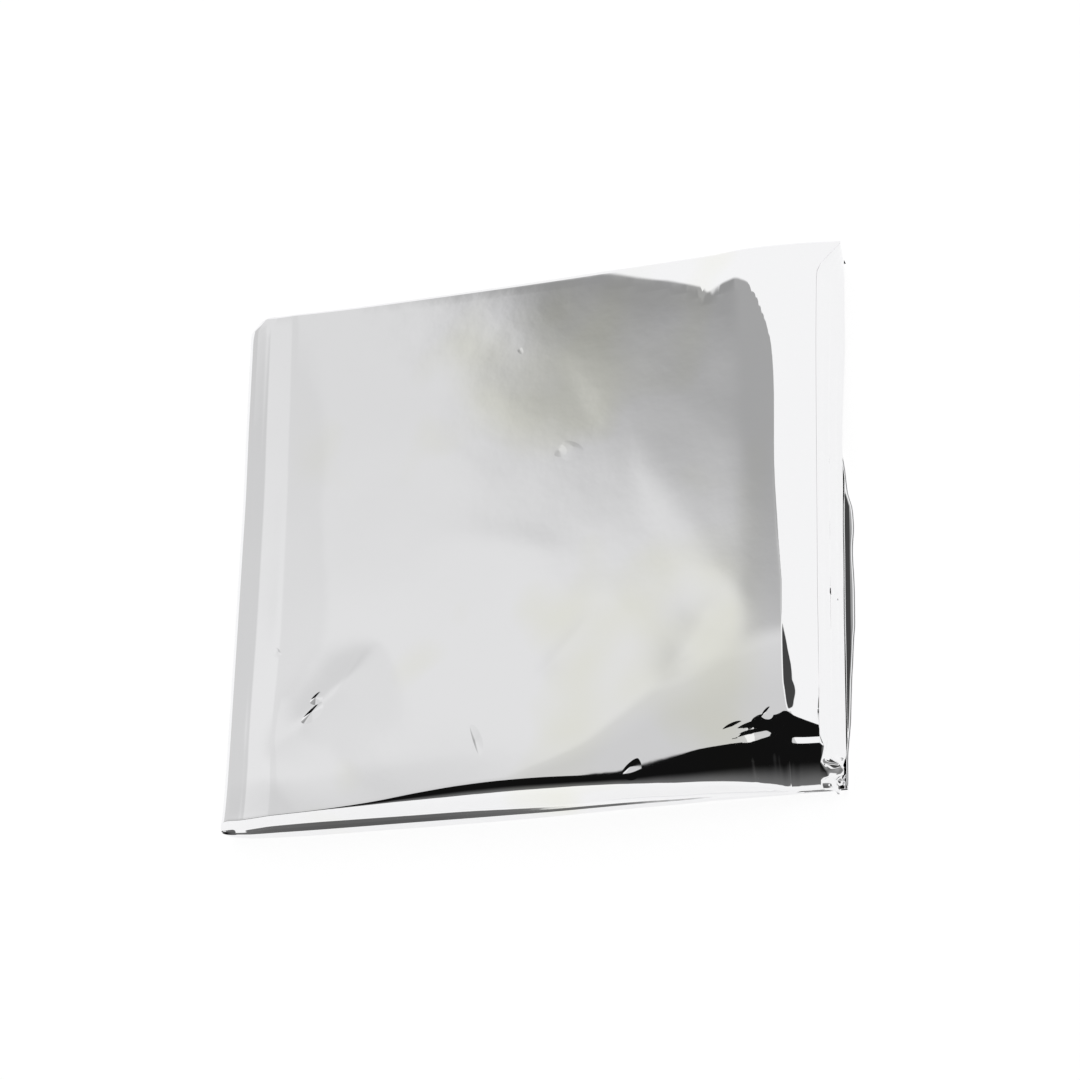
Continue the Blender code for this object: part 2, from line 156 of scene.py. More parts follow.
# Creases pressed into the panel: both ends, depth, how far the film slopes to them on either side, how
# much less at the second end, softness
FOLDS = (
    (8.0, 12.0, 37.5, 38.0, 0.65, 17.0, 34.0, 0.6, 1.0),
    (88.0, 80.0, 121.0, 22.0, -0.10, 9.0, 12.0, 0.0, 4.0),
    (69.0, 23.0, 87.0, 41.0, 0.14, 4.0, 14.0, 0.0, 1.0),
    (96.0, 19.0, 112.0, 42.0, 0.24, 8.0, 12.0, 0.0, 3.0),
    (72.0, 100.0, 84.0, 74.0, 0.04, 7.0, 9.0, 0.0, 2.0),
    (22.0, 46.0, 34.0, 84.0, 0.08, 10.0, 14.0, 0.0, 3.0),
    (86.0, 84.0, 96.0, 50.0, 0.03, 6.0, 9.0, 0.0, 2.0),
    (40.0, 62.0, 84.0, 50.0, -0.07, 7.0, 9.0, 0.0, 2.0),
)
FOLD_END = 0.4  # the share of a crease over which each of its ends fades
CROWN, CROWN_RUN = 0.8, 25.0  # how far the panel's middle stands up, and how far from the left edge it rises
# The panel leans a little to its front edge: the slope, how far in, how softly, and how far along
FRONT_SLOPE, FRONT_SLOPE_RUN, FRONT_SLOPE_SOFTNESS, FRONT_SLOPE_END = 0.045, 9.5, 2.0, 90.0
GROOVE_X, GROOVE_WIDTH, GROOVE_DEPTH = 5.7, 0.4, 0.015  # the faint groove along the band
# The top panel's back edge: x, y
BACK_LINE = (
    (0, 117.2), (8, 116.6), (30, 116.0), (60, 115.9), (85, 116.1), (105, 116.8), (122, 117.6), (131, 117.6),
)
# The packet's left edge, drawn in at its middle: y, x
LEFT_LINE = (
    (-1, -0.5), (0, -0.4), (3, 0.0), (10, 0.35), (33, 0.65), (61, 1.0), (75, 1.15), (93, 1.0), (118, 1.0),
)

# How many points the sheet's grid has across the strip
FRONT_ROWS, FLAT_ROWS, BACK_ROWS = 96, 90, 24
ROWS = FRONT_ROWS + FLAT_ROWS + BACK_ROWS
EVEN_SHARE = 0.35  # of the spacing of the flat's rows; the rest grows towards the back
FINE_STEPS = 1200  # in a bent line, before its points are picked


def curve_through(knots, values, x):
    """A smooth curve through a few points, read at x. It never swings past them."""
    knots, values = np.asarray(knots, float), np.asarray(values, float)
    rises = np.diff(values) / np.diff(knots)
    both = rises[:-1] * rises[1:]
    inside = np.where(both > 0, 2 * both / (rises[:-1] + rises[1:] + 1e-9), 0)
    slopes = np.r_[rises[0], inside, rises[-1]]
    x = np.clip(x, knots[0], knots[-1])
    i = np.clip(np.searchsorted(knots, x) - 1, 0, len(knots) - 2)
    run = knots[i + 1] - knots[i]
    t = (x - knots[i]) / run
    return (
        values[i] * (1 + 2 * t) * (1 - t) ** 2 + slopes[i] * run * t * (1 - t) ** 2
        + values[i + 1] * t * t * (3 - 2 * t) + slopes[i + 1] * run * t * t * (t - 1)
    )


def ease(t):
    """0 up to zero, 1 from one on, and smooth between."""
    t = np.clip(t, 0, 1)
    return t * t * (3 - 2 * t)


def soft_ramp(t, softness):
    """0 below zero and t above it, with the corner rounded over the softness."""
    return 0.5 * (t + np.sqrt(t * t + softness * softness))


LIFT = math.atan(BAND_SLOPE)
TOP_START_X = EDGE_RADIUS - EDGE_RADIUS * math.sin(LIFT)
TOP_START_Z = EDGE_CENTRE_Z + EDGE_RADIUS * math.cos(LIFT)


def panel_height(x):
    """The top panel along its middle: band, facet, long slope and level shoulder."""
    # Each bend is the slope before it, the slope after it, its place and its softness
    height = TOP_START_Z + BAND_SLOPE * (x - TOP_START_X)
    for before, after, end, softness in (
        (BAND_SLOPE, FACET_SLOPE, BAND_END, 0.2),
        (FACET_SLOPE, LONG_SLOPE, FACET_END, 0.4),
        (LONG_SLOPE, 0.0, SHOULDER_START, 3.0),
    ):
        run = soft_ramp(x - end, softness) - soft_ramp(TOP_START_X - end, softness)
        height = height - (before - after) * run
    return height


def past_break(x, y):
    """How far a point of the panel lies past the crease beside the spine, negative before it."""
    x, y = np.broadcast_arrays(np.asarray(x, float), np.asarray(y, float))
    nearest, side = np.full(x.shape, np.inf), np.ones(x.shape)
    for (ax, ay), (bx, by) in zip(BREAK_LINE, BREAK_LINE[1:]):
        run_x, run_y = bx - ax, by - ay
        t = np.clip(((x - ax) * run_x + (y - ay) * run_y) / (run_x ** 2 + run_y ** 2), 0, 1)
        off_x, off_y = x - ax - t * run_x, y - ay - t * run_y
        far = np.hypot(off_x, off_y)
        closer = far < nearest - 1e-9
        nearest = np.where(closer, far, nearest)
        side = np.where(closer, np.sign(run_y * off_x - run_x * off_y), side)
    return nearest * side


def panel_surface(x, y):
    """The top panel's height with its creases and its soft unevenness."""
    past = past_break(x, y)
    height = panel_height(x) - BREAK_SLOPE * soft_ramp(past, BREAK_SOFTNESS)
    step = curve_through(*zip(*BREAK_STEP), y) * (x > STEP_FROM_X)
    stepped = past + STEP_SHIFT
    drop = soft_ramp(stepped, STEP_TOP_SOFTNESS) - soft_ramp(stepped - step, STEP_FOOT_SOFTNESS)
    height = height - STEP_SLOPE * drop
    crown = 1 - (2 * y / PACKET_DEPTH - 1) ** 2
    height = height + CROWN * crown * ease(x / CROWN_RUN)
    front = soft_ramp(FRONT_SLOPE_RUN - y, FRONT_SLOPE_SOFTNESS)
    height = height - FRONT_SLOPE * (1 - ease(x / FRONT_SLOPE_END)) * front
    height = height - GROOVE_DEPTH * np.exp(-(((x - GROOVE_X) / GROOVE_WIDTH) ** 2))
    sag_x, sag_y, sag_bend = zip(*SAG)
    sagged = np.maximum(curve_through(sag_x, sag_y, x) - y, 0)
    height = height - curve_through(sag_x, sag_bend, x) * sagged ** 2
    for along, across, wave_x, wave_y, size in WAVES:
        height = height + size * np.sin((x - along) / wave_x) * np.sin((y - across) / wave_y)
    for ax, ay, bx, by, depth, left, right, taper, softness in FOLDS:
        span = math.hypot(bx - ax, by - ay)
        share = ((x - ax) * (bx - ax) + (y - ay) * (by - ay)) / span ** 2
        off = ((bx - ax) * (y - ay) - (by - ay) * (x - ax)) / span
        far = np.sqrt(off * off + softness * softness) - softness
        reach = np.where(off > 0, left, right) * (1 - taper * np.clip(share, 0, 1))
        falls = np.exp(-2 * far / reach)
        height = height - depth * falls * ease(share / FOLD_END) * ease((1 - share) / FOLD_END)
    return height


def roll_at(x):
    """The front roll's sizes at x."""
    places, *sizes = zip(*ROLLS)
    return Roll(x, *(float(curve_through(places, size, x)) for size in sizes))


def profile(lengths, angles, count, rounding):
    """Evenly spaced points along a bent line, as level run and drop. It is given as the lengths between
    the places where its tilt, in degrees, is known, and its bends are rounded."""
    s = np.r_[0, np.cumsum(lengths)]
    fine = np.linspace(0, s[-1], FINE_STEPS)
    step = fine[1]
    half = max(1, int(rounding / step))
    tilt = np.pad(np.interp(fine, s, np.radians(angles)), half, mode="edge")
    tilt = np.convolve(tilt, np.ones(2 * half + 1) / (2 * half + 1), mode="valid")
    run = np.r_[0, np.cumsum((np.cos(tilt[1:]) + np.cos(tilt[:-1])) / 2 * step)]
    drop = np.r_[0, np.cumsum((np.sin(tilt[1:]) + np.sin(tilt[:-1])) / 2 * step)]
    picked = np.linspace(0, s[-1], count)
    return np.interp(picked, fine, run), np.interp(picked, fine, drop)


def flat_shares():
    """Shares of the flat between the two rolls, closer together near the front, where the film is busy."""
    t = np.linspace(0, 1, FLAT_ROWS + 2)[1:-1]
    return EVEN_SHARE * t + (1 - EVEN_SHARE) * t * t


def softened(x):
    """0 where the front roll's edge is sharp, and 1 where it is soft."""
    return float(ease((x - SHARP_UNTIL) / (SOFT_FROM - SHARP_UNTIL)))


def lip_place(roll):
    """How far behind the packet's front the panel's low edge ends."""
    return roll.face + LIP_SETBACK + LIP_SETBACK * roll.lip_run


def back_low(x):
    """How far above the floor the top panel's back edge ends, and the bottom panel's turn ends."""
    return BACK_LOW_LEFT + (BACK_LOW_RIGHT - BACK_LOW_LEFT) * ease((x - BACK_LOW_FROM) / BACK_LOW_RUN)


def top_line(x):
    """One line of points across the top panel, from its low front edge to its low back edge."""
    roll = roll_at(x)
    bent = min(1, roll.upper / UPPER_FULL)
    turn = LEDGE_TURN * bent
    stand = float(curve_through(*zip(*UPRIGHT), x))
    ledge_tilt = float(curve_through(*zip(*LEDGE_TILT), x))
    places, tilts_from, tilts_to = zip(*UPPER_TILT)
    upper_from, upper_to = (float(curve_through(places, tilts, x)) for tilts in (tilts_from, tilts_to))
    # The upright stretch takes what is left of the height, so its length is found in a few rounds
    upright = 4.0
    run, drop = np.full(2, 8.0), np.zeros(2)
    for _ in range(4):
        roll_y = lip_place(roll) + run[-1]
        start_z = float(panel_surface(x, roll_y))
        upright = max(upright + start_z - roll.lip - drop[-1], 0.1) if drop[-1] else upright
        start = math.degrees(math.atan((float(panel_surface(x, roll_y + 0.1)) - start_z) / 0.1))
        bends = [start + (angle - start) * bent for angle in (upper_from, upper_to, ledge_tilt)]
        angles = [start, *bends, bends[-1], STEEP_FROM, STEEP_TO, STEEPER_TO, UPRIGHT_FROM, stand, stand,
                  roll.dip, roll.dip]
        into, rounding = 0.05 + 0.25 * softened(x), 0.03 + 0.09 * softened(x)
        lengths = [turn, roll.upper, turn, roll.ledge, into, roll.steep, roll.steeper,
                   min(STEEPER_TURN, roll.steep), min(UPRIGHT_TURN, roll.steep + 0.05), upright, LIP_TURN,
                   roll.lip_run / 2]
        run, drop = profile(lengths, angles, FRONT_ROWS, rounding)
    roll_y = lip_place(roll) + run[-1]
    start_z = float(panel_surface(x, roll_y))
    stretch = (start_z - roll.lip) / drop[-1]
    back_radius = BACK_RADIUS_LEFT + (BACK_RADIUS_RIGHT - BACK_RADIUS_LEFT) * x / RIDGE_X
    back_y = float(curve_through(*zip(*BACK_LINE), x)) - back_radius
    flat_y = roll_y + (back_y - roll_y) * flat_shares()
    flat_z = panel_surface(x, flat_y)
    share = np.arange(1, BACK_ROWS + 1) / BACK_ROWS
    tilt = np.radians(90) * np.clip(share / BACK_TURN_SHARE, 0, 1)
    end_z = float(panel_surface(x, back_y))
    back_line_y = back_y + back_radius * np.sin(tilt)
    back_line_z = end_z - back_radius * (1 - np.cos(tilt))
    fallen = np.maximum(share - BACK_TURN_SHARE, 0) / (1 - BACK_TURN_SHARE)
    back_line_z -= (end_z - back_radius - back_low(x)) * fallen
    y = np.r_[(roll_y - run)[::-1], flat_y, back_line_y]
    z = np.r_[(start_z - drop * stretch)[::-1], flat_z, back_line_z]
    return y, z


def bottom_line(x):
    """One line of points across the bottom panel, from the strip under the front roll to the back."""
    roll = roll_at(x)
    turns = FLOOR_GAP + STRIP_CURL + 0.42 + 0.41 * roll.lip_run  # what the strip's turns take of its height
    face = max(roll.lip - turns, 0.05)
    lengths = [TUCKED + roll.lip_run / 2, LIP_TURN, face, 0.1, 1.5 * STRIP_CURL]
    angles = [roll.dip, roll.dip, FACE_TILT, FACE_TILT, 100, 180]
    out, drop = profile(lengths, angles, FRONT_ROWS, 0.12)
    lip_at = TUCKED / sum(lengths) * (FRONT_ROWS - 1)
    lip_rise = drop[-1] - np.interp(lip_at, np.arange(FRONT_ROWS), drop)
    stretch = (roll.lip - STRIP_GAP - FLOOR_GAP) / lip_rise
    lip_out = np.interp(lip_at, np.arange(FRONT_ROWS), out)
    front_y = lip_place(roll) + lip_out - out
    front_z = FLOOR_GAP + (drop[-1] - drop) * stretch
    share = np.arange(1, BACK_ROWS + 1) / BACK_ROWS
    tilt = np.radians(90) * np.clip(share / UNDER_TURN_SHARE, 0, 1)
    turn_y = PACKET_DEPTH - 0.5
    back_line_y = turn_y + UNDER_RADIUS * np.sin(tilt)
    back_line_z = FLOOR_GAP + UNDER_RADIUS * (1 - np.cos(tilt))
    risen = np.maximum(share - UNDER_TURN_SHARE, 0) / (1 - UNDER_TURN_SHARE)
    back_line_z = back_line_z + (back_low(x) - BACK_LOW_RIGHT) * risen
    flat_y = front_y[-1] + (turn_y - front_y[-1]) * flat_shares()
    y = np.r_[front_y, flat_y, back_line_y]
    z = np.r_[front_z, np.full(FLAT_ROWS, FLOOR_GAP), back_line_z]
    return y, z


def line_of(x, y, z):
    """A line of points across the strip; x may be one number or one for each row."""
    return np.stack([np.broadcast_to(x, ROWS), y, z], axis=1).astype(float)


def corner_round(y):
    """How far the left back corner's rounding draws the edge in."""
    back = np.clip(y - (PACKET_DEPTH - CORNER_START), 0, CORNER_RADIUS)
    return CORNER_RADIUS - np.sqrt(CORNER_RADIUS ** 2 - back * back)


def corner_inset(y):
    """How far the left edge, with its rounded back corner, is drawn in."""
    return corner_round(y) + curve_through(*zip(*LEFT_LINE), y)


def near_left(x):
    """1 at the left edge, fading to 0 where its outline's shape ends."""
    return ease(1 - x / LEFT_REACH)


# How far the hem's fold shows past the spine: y, x
HEM_LINE = (
    (0, 132.2), (3, 132.3), (6, 132.3), (15, 133.0), (23, 133.3), (28, 133.6), (32, 133.8), (36, 134.1),
    (43, 134.1), (52, 133.8), (57, 134.1), (61, 133.9), (65, 132.9), (70, 132.4), (78, 131.3), (90, 130.9),
    (117, 130.9),
)
HEM_RADIUS = 0.4
HEM_END_X, HEM_UNDER_X = 112.0, 122.0  # how far the hem reaches in under the spine, above and below
HEM_RISE, SHOULDER_RISE = 0.45, 0.67  # how it rises from its fold, and from its shoulder to the spine


def bottom_lines():
    """The hem under the spine, its fold, and the bottom panel from there to the left edge."""
    y, z = bottom_line(RIDGE_X)
    fold_x = curve_through(*zip(*HEM_LINE), y)
    turn_x = fold_x - HEM_RADIUS
    shoulder = np.minimum(FOOT_X + 0.9, fold_x - 0.6)
    middle = 2 * HEM_RADIUS + HEM_RISE * np.maximum(turn_x - np.maximum(shoulder, FOOT_X), 0)
    top = middle + SHOULDER_RISE * np.maximum(shoulder - FOOT_X, 0)
    lines = []
    for x in np.linspace(HEM_END_X, FOOT_X - 0.6, 7):
        lines.append(line_of(np.minimum(x, shoulder - 0.2), y, z + top))
    corners = ((FOOT_X - 0.3, top), (FOOT_X, top), (shoulder, middle), (turn_x, 2 * HEM_RADIUS))
    for (from_x, from_z), (to_x, to_z) in zip(corners, corners[1:]):
        for share in np.linspace(0, 1, 6)[1:]:
            x = from_x + (to_x - from_x) * share
            lines.append(line_of(np.minimum(x, turn_x), y, z + from_z + (to_z - from_z) * share))
    for angle in np.radians(np.linspace(90, -90, 10))[1:]:
        out, up = HEM_RADIUS * np.cos(angle), HEM_RADIUS * (1 + np.sin(angle))
        lines.append(line_of(turn_x + out, y, z + up))
    for share in np.linspace(0, 1, 8)[1:]:
        y_at, z_at = bottom_line(RIDGE_X + (HEM_UNDER_X - RIDGE_X) * share)
        lines.append(line_of(turn_x - (turn_x - HEM_UNDER_X) * share, y_at, z_at))
    for x in np.linspace(HEM_UNDER_X, EDGE_RADIUS, 40)[1:]:
        y_at, z_at = bottom_line(x)
        lines.append(line_of(x + corner_inset(y_at) * near_left(x), y_at, z_at))
    return lines


def edge_lines(low, high):
    """Round the left edge, from a line of the bottom panel to a line of the top panel."""
    lines = []
    for share in np.linspace(0, 1, 20)[1:-1]:
        angle = share * (math.pi - LIFT)
        reach = (high[:, 2] - low[:, 2]) / (1 + math.cos(LIFT))
        z = low[:, 2] + reach * (1 - math.cos(angle))
        y = low[:, 1] + (high[:, 1] - low[:, 1]) * ease(share)
        x = low[:, 0] + (high[:, 0] - low[:, 0]) * share
        x = x - EDGE_RADIUS * (math.sin(angle) - math.sin(LIFT) * share)
        lines.append(np.stack([x, y, z], axis=1))
    return lines


# How the panel's right end is drawn in where its front is low, and out at its back corner, the ear
PINCH_FROM_X, PINCH_LEAN, PINCH_BELOW, PINCH_BEFORE_Y = 108.0, 0.19, 15.2, 60.0
EAR_FROM_Y, EAR_RUN, EAR_OUT, EAR_HIGH_OUT = 108.0, 9.0, 3.4, 1.6


def pinch(x, y, z):
    """How far the panel's right end is drawn in where its front is low, and out at its back corner."""
    near = ease((x - PINCH_FROM_X) / (RIDGE_X - PINCH_FROM_X))
    out = EAR_OUT + EAR_HIGH_OUT * ease((z - 4) / 10)
    ear = out * ease((y - EAR_FROM_Y) / EAR_RUN) ** 2 * near
    return near * PINCH_LEAN * np.maximum(PINCH_BELOW - z, 0) * (y < PINCH_BEFORE_Y) - ear


# How many points the grid has along the strip over the top panel, closer together near the spine: from, to,
# number
TOP_COLUMNS = (
    (12, 98, 110), (98, 116, 56), (116, 121.7, 26), (121.7, 123.3, 16), (123.3, RIDGE_X - 0.3, 28),
)
LAST_COLUMNS = (RIDGE_X - 0.3, RIDGE_X - 0.15, RIDGE_X - 0.05)


def top_lines():
    """Over the top panel, from the left edge to the ridge."""
    spans = [np.linspace(*span)[:-1] for span in ((TOP_START_X, 12, 28), *TOP_COLUMNS)]
    lines = []
    for x in np.concatenate([*spans, LAST_COLUMNS]):
        y, z = top_line(x)
        shift = corner_inset(y) * near_left(x) - pinch(x, y, z)
        raised = panel_height(x + corner_round(y) * near_left(x)) - panel_height(x)
        lines.append(line_of(x + shift, y, z + raised))
    return lines


# The pleats down the spine: share of the way down, half width, how far they stand out
PLEATS = (
    (0.16, 0.10, 0.04), (0.30, 0.06, -0.05), (0.42, 0.09, 0.08), (0.52, 0.05, -0.09), (0.68, 0.10, 0.05),
    (0.80, 0.06, -0.06),
)
PLEAT_FULL_HEIGHT = 13.0  # where the spine is lower, its pleats are shallower
CRUMPLE = 1.9  # the size of the dents at the spine's front end
CRUMPLE_IN, CRUMPLE_OUT = -2.8, 0.9
CRUMPLE_ROWS, CRUMPLE_LEVELS = 8, 12
# The three largest folds there: y, z, reach to the front, back, up and down, and how far they stand out
PUSHED_OUT = (
    (2.8, 14.0, 1.2, 5.5, 1.9, 5.0, 2.0),
    (1.9, 4.8, 1.2, 2.8, 2.8, 2.5, 2.4),
    (0.8, 9.0, 1.0, 2.6, 2.0, 3.0, 1.6),
)


def dented(y, z, dents):
    """How far the random dents at the spine's front end push it in or out."""
    cell_y = np.clip(y / CRUMPLE, 0, CRUMPLE_ROWS - 1.01)
    cell_z = np.clip(z / CRUMPLE, 0, CRUMPLE_LEVELS - 1.01)
    i, j, t, w = cell_y.astype(int), cell_z.astype(int), cell_y % 1, cell_z % 1
    return (
        dents[i, j] * (1 - t) * (1 - w) + dents[i + 1, j] * t * (1 - w)
        + dents[i, j + 1] * (1 - t) * w + dents[i + 1, j + 1] * t * w
    )


def pushed_out(y, z):
    """How far the largest folds at the spine's front end stand out."""
    total = np.zeros(y.shape)
    for at_y, at_z, front, back, up, down, out in PUSHED_OUT:
        off_y = (y - at_y) / np.where(y < at_y, -front, back)
        off_z = (z - at_z) / np.where(z < at_z, -down, up)
        total = total + out * np.clip(1 - np.maximum(off_y, off_z), 0, 1)
    return total


def spine_lines(ridge):
    """From the ridge down the pleated spine to its foot. Its front end leans and is crumpled."""
    x, y, z = ridge.T
    foot_z = np.minimum(2.4 * ease(y / 5) + 0.35, z * 0.9)
    foot_x = FOOT_X + 0.2 * ease(1 - y / 12) + 0.8 * ease((y - 75) / 25)
    lean = 1 - 0.45 * ease(1 - y / 10)
    height = np.clip((z - foot_z) / PLEAT_FULL_HEIGHT, 0, 1)
    dents = np.random.default_rng(11).uniform(CRUMPLE_IN, CRUMPLE_OUT, (CRUMPLE_ROWS, CRUMPLE_LEVELS))
    lines = []
    for share in np.r_[0.0, 0.012, np.linspace(0.03, 1, 44)]:
        px = x + 0.05 + (foot_x - x) * share ** lean
        pz = z + (foot_z - z) * share
        pleats = sum(out * np.exp(-(((share - at) / wide) ** 2)) for at, wide, out in PLEATS)
        crushed = ease(1.6 - y / 5) * ease(share / 0.1) * (0.3 + 0.7 * ease(1.6 - pz / 6))
        rough = dented(y, pz, dents) * crushed + pushed_out(y, pz)
        lines.append(np.stack([px + pleats * height + rough, y, pz], axis=1))
    return lines


# The layers folded in between the bottom and the top: level, left end, right end
INNER_PANELS = ((1, 5, 126), (2, 5, 125), (3, 9, 125), (4, 9, 124), (5, 43, 124), (6, 43, 121))
ROOF_GAP = 0.8  # between the highest of them and the top panel


def inner_lines(foot):
    """From the spine's foot back and forth between the bottom panel and the top panel."""
    x, y, z = foot.T
    lines = []
    for angle in np.radians((-20, -50, -90)):
        lines.append(np.stack([x - 0.4 + 0.4 * np.cos(angle), y, z + 0.4 * np.sin(angle) * 0.6], axis=1))
    share_y = (y - y[0]) / (y[-1] - y[0])
    for index, (level, left, right) in enumerate(INNER_PANELS):
        front, back = 4.0 + 0.7 * level, PACKET_DEPTH - 4.2 - 0.5 * level
        row_y = front + (back - front) * share_y
        ends = (right, left) if index % 2 == 0 else (left, right)
        for px in np.linspace(*ends, 5):
            over_y, over_z = top_line(px)
            roof = np.interp(row_y, over_y, over_z) - ROOF_GAP
            base = np.minimum(0.5 + 2.2 * float(ease((px - 100) / 20)), roof * 0.6)
            lines.append(line_of(px, row_y, base + (roof - base) * level / (len(INNER_PANELS) + 1)))
    return lines


lines = bottom_lines()
top = top_lines()
lines += edge_lines(lines[-1], top[0])
lines += top
spine = spine_lines(top[-1])
lines += spine
lines += inner_lines(spine[-1])
points = np.array(lines)

mesh = bpy.data.meshes.new("foil_sheet")
bm = bmesh.new()
columns = len(points) - 1
bmesh.ops.create_grid(bm, x_segments=columns, y_segments=ROWS - 1, size=1)
for vert in bm.verts:
    i = round((vert.co.x + 1) / 2 * columns)
    j = round((vert.co.y + 1) / 2 * (ROWS - 1))
    x, y, z = points[i, j]
    vert.co = ((x - ORIGIN_X) * MM, (y - ORIGIN_Y) * MM, z * MM)
for face in bm.faces:
    face.smooth = True
bm.to_mesh(mesh)
bm.free()
sheet = bpy.data.objects.new("foil_sheet", mesh)
scene.collection.objects.link(sheet)


def linear(hex_colour):
    """An sRGB hex colour as the linear values that the shaders take."""
    channels = [int(hex_colour[i:i + 2], 16) / 255 for i in (1, 3, 5)]
    return tuple(c / 12.92 if c <= 0.04045 else ((c + 0.055) / 1.055) ** 2.4 for c in channels) + (1.0,)


def add(tree, kind, settings=None, **links):
    """Adds a node with its settings and the values or links of its inputs."""
    node = tree.nodes.new(kind)
    for name, value in (settings or {}).items():
        setattr(node, name, value)
    for name, value in links.items():
        key = int(name[1:]) if name[1:].isdigit() else name.replace("_", " ")
        if isinstance(value, bpy.types.NodeSocket):
            tree.links.new(value, node.inputs[key])
        else:
            node.inputs[key].default_value = value
    return node


# Metallised film: aluminium a few hundred atoms thick on clear polyester. It mirrors its surroundings
# almost without blur, and is a little uneven where it was creased and pressed flat again.
film = bpy.data.materials.new("aluminised_polyester_film")
film.use_nodes = True
tree = film.node_tree
shader = tree.nodes["Principled BSDF"]
shader.inputs["Metallic"].default_value = 1.0
place = add(tree, "ShaderNodeTexCoord").outputs["Object"]
CRINKLES, PATCHES = 18, 3  # how many fine crinkles and warm patches lie in 100 mm of film
CRINKLE_HEIGHT = 0.012
GENTLE_SIDE = 0.3  # how steep a dent's near side is, as a share of its far side
# Small dents and nicks, steep on their far side alone: place, turn, half length, half width and depth
MARKS = (
    (21.5, 26.3, 42, 1.6, 0.50, 0.24),
    (20.7, 23.2, 41, 3.0, 0.60, 0.32),
    (12.7, 37.4, -57, 1.2, 0.40, 0.05),
    (57.4, 12.8, 108, 3.6, 0.45, 0.06),
    (74.4, 75.0, 58, 1.4, 0.60, 0.018),
    (77.6, 75.4, -30, 2.6, 1.00, -0.012),
    (65.2, 99.7, 30, 0.6, 0.40, 0.01),
    (118.6, 12.9, 47, 1.3, 0.50, 0.12),
    (90.2, 4.2, 40, 2.4, 0.70, 0.18),
    (111.6, 10.6, 19, 2.2, 0.70, 0.14),
    (115.8, 10.2, 12, 3.8, 1.10, 0.16),
    (116.0, 8.4, 8, 4.8, 1.40, 0.17),
    (129.2, 12.6, 90, 4.2, 0.40, 0.22),
    (131.0, 69.5, 0, 1.0, 0.40, 0.25),
    (131.2, 40.5, 0, 0.7, 0.50, 0.25),
)
crinkle = add(tree, "ShaderNodeTexNoise", Vector=place, Scale=CRINKLES / (100 * MM), Detail=3.0,
              Roughness=0.45)
depth = add(tree, "ShaderNodeMath", {"operation": "MULTIPLY"}, i0=crinkle.outputs[0],
            i1=CRINKLE_HEIGHT * MM).outputs[0]
for x, y, turn, half_long, half_wide, mark_depth in MARKS:
    at = add(tree, "ShaderNodeMapping", {"vector_type": "TEXTURE"}, Vector=place,
             Location=((x - ORIGIN_X) * MM, (y - ORIGIN_Y) * MM, 0), Rotation=(0, 0, math.radians(turn)),
             Scale=(half_long * MM, half_wide * MM, 1.0))
    mirrored = add(tree, "ShaderNodeVectorMath", {"operation": "MULTIPLY"}, i0=at.outputs[0],
                   i1=(1.0, -GENTLE_SIDE, 1.0))
    uneven = add(tree, "ShaderNodeVectorMath", {"operation": "MAXIMUM"}, i0=at.outputs[0],
                 i1=mirrored.outputs[0])
    spot = add(tree, "ShaderNodeTexGradient", {"gradient_type": "SPHERICAL"}, Vector=uneven.outputs[0])
    depth = add(tree, "ShaderNodeMath", {"operation": "MULTIPLY_ADD"}, i0=spot.outputs[1],
                i1=-mark_depth * MM, i2=depth).outputs[0]
bump = add(tree, "ShaderNodeBump", Strength=1.0, Distance=1.0, Height=depth)
tree.links.new(bump.outputs[0], shader.inputs["Normal"])
# The coating is a shade warmer in patches, but not on the facet and the spine. Along the packet, in metres
# from its middle: where the warmth starts and where it is full
WARM_ENDS = ((0.053, 0.045), (-0.054, -0.040))
COOL_FILM, WARM_FILM = linear("#F2F2F3"), linear("#EEEEE6")
cloud = add(tree, "ShaderNodeTexNoise", Vector=place, Scale=PATCHES / (100 * MM), Detail=2.0)
warm = add(tree, "ShaderNodeMapRange", Value=cloud.outputs[0], From_Min=0.52, From_Max=0.68, To_Min=0.0,
           To_Max=1.0).outputs[0]
along = add(tree, "ShaderNodeSeparateXYZ", Vector=place).outputs[0]
for none, full in WARM_ENDS:
    panel = add(tree, "ShaderNodeMapRange", Value=along, From_Min=none, From_Max=full, To_Min=0.0, To_Max=1.0)
    warm = add(tree, "ShaderNodeMath", {"operation": "MULTIPLY"}, i0=warm, i1=panel.outputs[0]).outputs[0]
tint = add(tree, "ShaderNodeMix", {"data_type": "RGBA"}, i0=warm, i6=COOL_FILM, i7=WARM_FILM)
tree.links.new(tint.outputs[2], shader.inputs["Base Color"])
# It is a little hazier where it is crinkled
haze = add(tree, "ShaderNodeMapRange", Value=crinkle.outputs[0], From_Min=0.3, From_Max=0.7, To_Min=0.02,
           To_Max=0.06)
tree.links.new(haze.outputs[0], shader.inputs["Roughness"])
mesh.materials.append(film)

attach(sheet, "root")
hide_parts("foil_strip")

# ---------------------------------------------------------------------------------------------------
# The studio: a plain white floor and soft white light from all round. The film mirrors a grey sweep
# behind it, a black flag at the front and a dark card to the right.

floor_mesh = bpy.data.meshes.new("floor")
bm = bmesh.new()
bmesh.ops.create_grid(bm, x_segments=8, y_segments=8, size=3.0)
bm.to_mesh(floor_mesh)
bm.free()
floor = bpy.data.objects.new("floor", floor_mesh)
scene.collection.objects.link(floor)
paper = bpy.data.materials.new("white_table")
paper.use_nodes = True
shader = paper.node_tree.nodes["Principled BSDF"]
shader.inputs["Base Color"].default_value = linear("#8C8C8C")
shader.inputs["Roughness"].default_value = 0.9
shader.inputs["Emission Color"].default_value = (1, 1, 1, 1)
shader.inputs["Emission Strength"].default_value = 0.88
floor_mesh.materials.append(paper)

